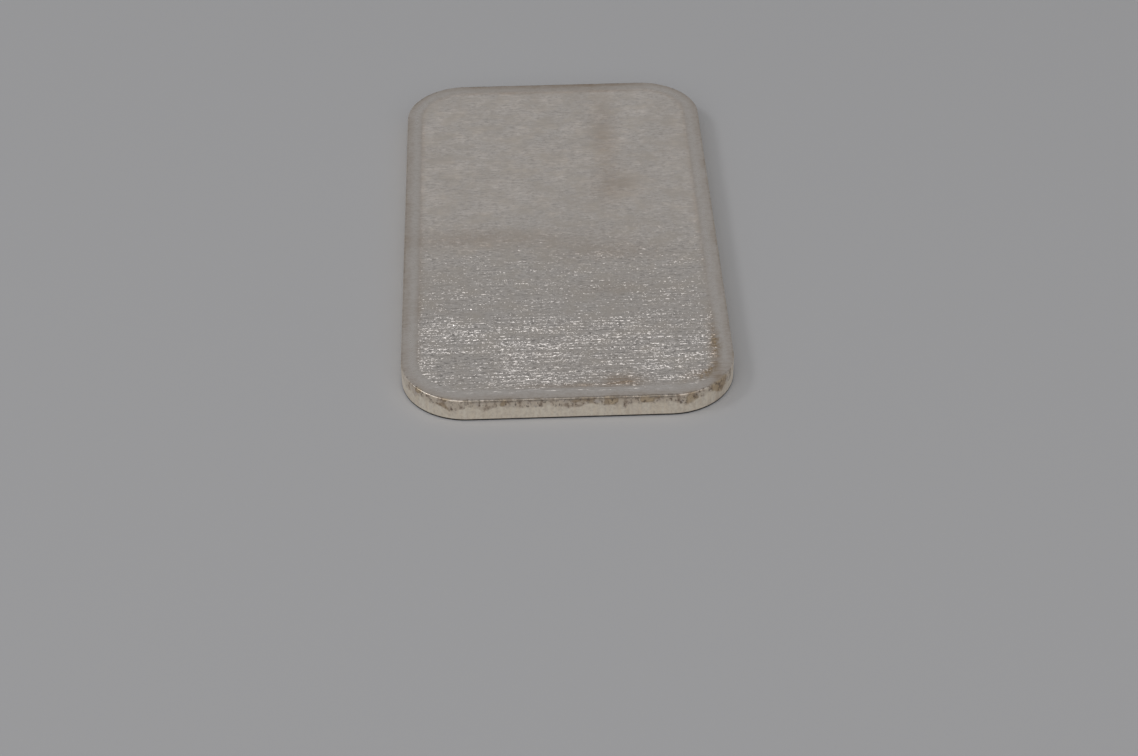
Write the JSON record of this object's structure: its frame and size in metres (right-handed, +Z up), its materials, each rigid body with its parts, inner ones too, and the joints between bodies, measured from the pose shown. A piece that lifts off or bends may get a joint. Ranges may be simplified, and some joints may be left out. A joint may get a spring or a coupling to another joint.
{
  "type": "metal ingot",
  "caption": "Thin flat silver ingot with rounded corners, a brushed top face inside a smooth rim, upright sides and a plain underside. Raw stock that lies flat or stacks.",
  "frame": {"origin": "centre of the underside, on the surface that the bar rests on", "axes": "+X across the bar, +Y along it, +Z up, out of the brushed top face"},
  "size_m": [0.0286, 0.05, 0.0022],
  "materials": {
    "fine_silver": "satin"
  },
  "bodies": {
    "root": {"silver_bar": "fine_silver"}
  },
  "joints": []
}
